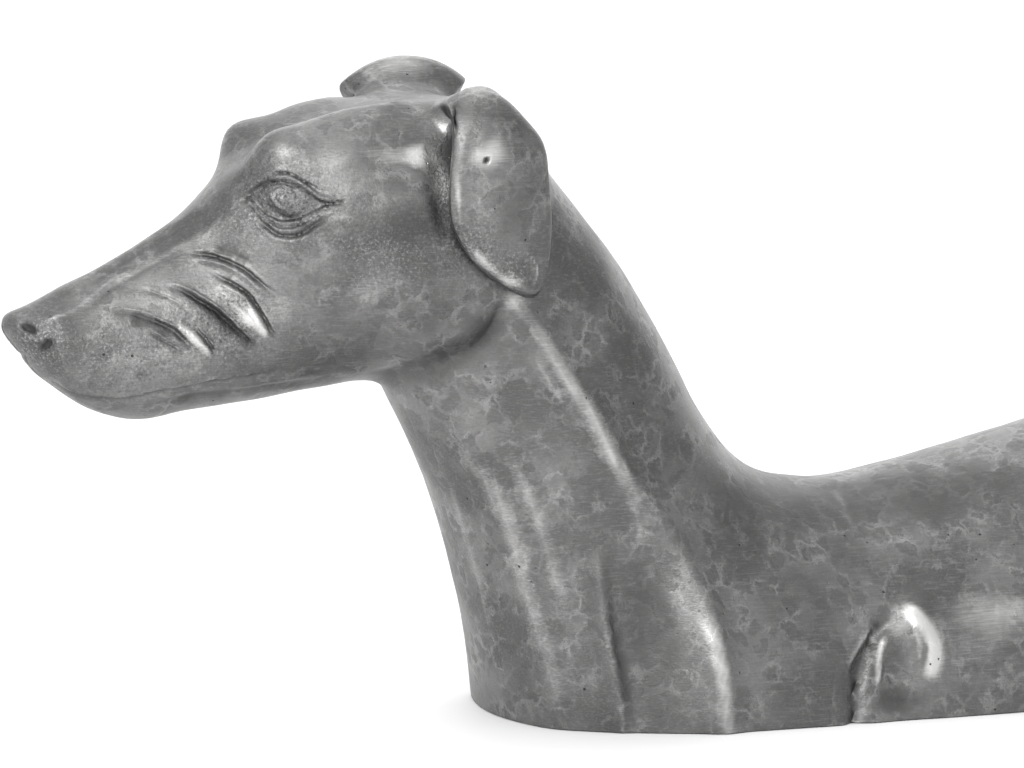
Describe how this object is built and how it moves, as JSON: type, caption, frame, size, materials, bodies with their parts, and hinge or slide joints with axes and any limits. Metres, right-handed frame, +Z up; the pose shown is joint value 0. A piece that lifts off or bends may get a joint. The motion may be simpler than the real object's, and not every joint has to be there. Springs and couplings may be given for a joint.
{
  "type": "dog bust",
  "caption": "Life-size bust of a lean sighthound with folded ears, cast in grey aluminium: head, neck and front of the shoulders, cut flat below and behind.",
  "frame": {"origin": "middle of the flat underside, in the mirror plane of the head and neck", "axes": "+X from the nose towards the shoulders, so the dog looks along -X; +Y towards the dog's right side; +Z up"},
  "size_m": [0.5045, 0.1766, 0.2745],
  "materials": {
    "cast_aluminium": "hand-worked grey satin, mottled, with small casting pits and polished high spots"
  },
  "bodies": {
    "root": {"dog_bust": "cast_aluminium"}
  },
  "joints": []
}
